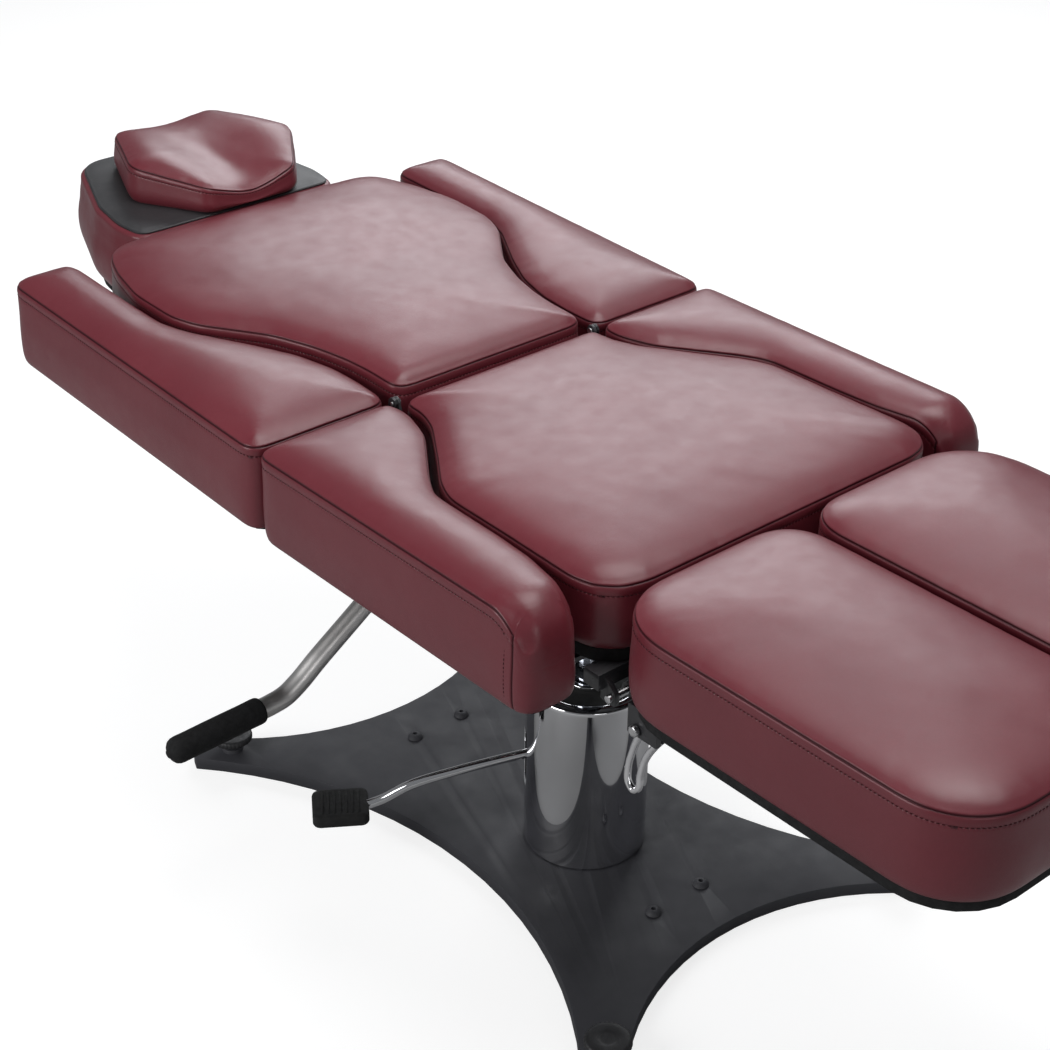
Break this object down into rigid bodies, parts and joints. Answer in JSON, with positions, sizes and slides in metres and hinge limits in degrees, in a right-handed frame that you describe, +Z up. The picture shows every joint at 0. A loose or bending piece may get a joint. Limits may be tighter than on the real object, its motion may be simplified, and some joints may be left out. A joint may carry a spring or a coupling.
{
  "type": "treatment chair",
  "caption": "Hydraulic spa treatment chair laid flat as a bed, with a reclining back, a sliding headrest and a pillow, split leg rests and a four-foot levelled base.",
  "frame": {"origin": "on the underside of the base plate, on the axis of the pump and ram", "axes": "+Z up, +Y towards the head end, -X towards the sitter's right hand side"},
  "size_m": [0.9389, 2.0361, 0.8338],
  "materials": {
    "vinyl": "soft burgundy upholstery vinyl with a fine grain and a satin sheen",
    "black_vinyl": "matt black upholstery vinyl",
    "board": "black stapled backing cloth over plywood",
    "powder_coat": "textured dark grey powder coat",
    "frame_paint": "semi-gloss black enamel",
    "chrome": "mirror polished",
    "steel": "brushed",
    "ram_steel": "ground and oiled",
    "foam": "matt black foam grip",
    "rubber": "matt black",
    "plastic": "moulded, fine texture"
  },
  "bodies": {
    "base": {"base_plate": "powder_coat", "base_bolt_1": "powder_coat", "base_bolt_2": "powder_coat", "base_bolt_3": "powder_coat", "base_bolt_4": "powder_coat", "pump_cylinder": "frame_paint", "pump_bolt_1": "steel", "pump_bolt_2": "steel", "pump_bolt_3": "steel", "pump_bolt_4": "steel", "pump_cover": "chrome", "pump_seal": "rubber"},
    "leveller_head_r": {"leveller_head_r": "plastic"},
    "leveller_head_l": {"leveller_head_l": "plastic"},
    "leveller_leg_r": {"leveller_leg_r": "plastic"},
    "leveller_leg_l": {"leveller_leg_l": "plastic"},
    "pedal": {"pedal_lever": "chrome", "pedal_pad": "rubber"},
    "ram": {"ram_column": "ram_steel", "ram_flange": "frame_paint", "swivel_bearing": "steel"},
    "seat": {"swivel_plate": "frame_paint", "seat_frame": "frame_paint", "seat_board": "board", "seat_cushion": "vinyl", "seat_wing_board_r": "board", "seat_wing_board_l": "board", "seat_wing_r": "vinyl", "seat_wing_l": "vinyl", "back_hinge_pin_r": "steel", "back_hinge_pin_l": "steel", "leg_hinge_shaft": "steel", "lever_pin": "steel", "spring_pin": "steel"},
    "recline_lever": {"recline_lever": "steel", "recline_grip": "foam"},
    "back": {"back_frame": "frame_paint", "back_board": "board", "back_cushion": "vinyl", "back_wing_board_r": "board", "back_wing_board_l": "board", "back_wing_r": "vinyl", "back_wing_l": "vinyl"},
    "spring_barrel": {"spring_barrel": "frame_paint"},
    "spring_rod": {"spring_rod": "chrome"},
    "headrest_post": {"headrest_slider": "chrome", "headrest_pin": "steel"},
    "headrest": {"headrest_block": "vinyl", "headrest_panel": "black_vinyl", "headrest_board": "board", "headrest_leaf": "frame_paint"},
    "pillow": {"head_pillow": "vinyl"},
    "leg_r": {"leg_cushion_r": "vinyl", "leg_board_r": "board", "leg_frame_r": "frame_paint"},
    "leg_l": {"leg_cushion_l": "vinyl", "leg_board_l": "board", "leg_frame_l": "frame_paint"},
    "release_r": {"leg_release_r": "chrome"},
    "release_l": {"leg_release_l": "chrome"}
  },
  "joints": [
    {"name": "lift", "type": "slide", "parent": "base", "child": "ram", "axis": [0, 0, 1], "range_m": [-0.1, 0.04]},
    {"name": "swivel", "type": "hinge", "parent": "ram", "child": "seat", "pos_m": [0, 0, 0.556], "axis": [0, 0, 1], "continuous": true},
    {"name": "recline", "type": "hinge", "parent": "seat", "child": "back", "pos_m": [0, 0.201, 0.714], "axis": [1, 0, 0], "range_deg": [0, 75]},
    {"name": "spring_swing", "type": "hinge", "parent": "seat", "child": "spring_barrel", "pos_m": [0.038, 0.285, 0.54], "axis": [1, 0, 0], "range_deg": [0, 66.8]},
    {"name": "spring_stroke", "type": "slide", "parent": "spring_barrel", "child": "spring_rod", "axis": [0, 0.9874, 0.1581], "range_m": [0, 0.2265]},
    {"name": "headrest_slide", "type": "slide", "parent": "back", "child": "headrest_post", "axis": [0, 0.9993, 0.0372], "range_m": [0, 0.09]},
    {"name": "headrest_tilt", "type": "hinge", "parent": "headrest_post", "child": "headrest", "pos_m": [0, 0.84665, 0.60086], "axis": [1, 0, 0], "range_deg": [-40, 0]},
    {"name": "pillow_slide", "type": "slide", "parent": "headrest", "child": "pillow", "axis": [0, 0.9993, 0.0372], "range_m": [0, 0.04]},
    {"name": "leg_r", "type": "hinge", "parent": "seat", "child": "leg_r", "pos_m": [0, -0.347, 0.579], "axis": [1, 0, 0], "range_deg": [0, 75]},
    {"name": "leg_l", "type": "hinge", "parent": "seat", "child": "leg_l", "pos_m": [0, -0.347, 0.579], "axis": [1, 0, 0], "range_deg": [0, 75]},
    {"name": "release_r", "type": "hinge", "parent": "leg_r", "child": "release_r", "pos_m": [0, -0.395, 0.562], "axis": [1, 0, 0], "range_deg": [-15, 0]},
    {"name": "release_l", "type": "hinge", "parent": "leg_l", "child": "release_l", "pos_m": [0, -0.395, 0.562], "axis": [1, 0, 0], "range_deg": [-15, 0]},
    {"name": "recline_lever", "type": "hinge", "parent": "seat", "child": "recline_lever", "pos_m": [0, 0.261, 0.5], "axis": [0, 1, 0], "range_deg": [0, 12]},
    {"name": "pedal", "type": "hinge", "parent": "base", "child": "pedal", "pos_m": [-0.0431, 0.0291, 0.178], "axis": [-0.5592, -0.829, 0], "range_deg": [-4, 10]},
    {"name": "level_head_r", "type": "slide", "parent": "base", "child": "leveller_head_r", "axis": [0, 0, -1], "range_m": [0, 0.01]},
    {"name": "level_head_l", "type": "slide", "parent": "base", "child": "leveller_head_l", "axis": [0, 0, -1], "range_m": [0, 0.01]},
    {"name": "level_leg_r", "type": "slide", "parent": "base", "child": "leveller_leg_r", "axis": [0, 0, -1], "range_m": [0, 0.01]},
    {"name": "level_leg_l", "type": "slide", "parent": "base", "child": "leveller_leg_l", "axis": [0, 0, -1], "range_m": [0, 0.01]}
  ],
  "couplings": [
    {"joint": "spring_swing", "follows": "recline", "ratio": 0.8876},
    {"joint": "spring_stroke", "follows": "recline", "m_per_rad": 0.17266}
  ]
}
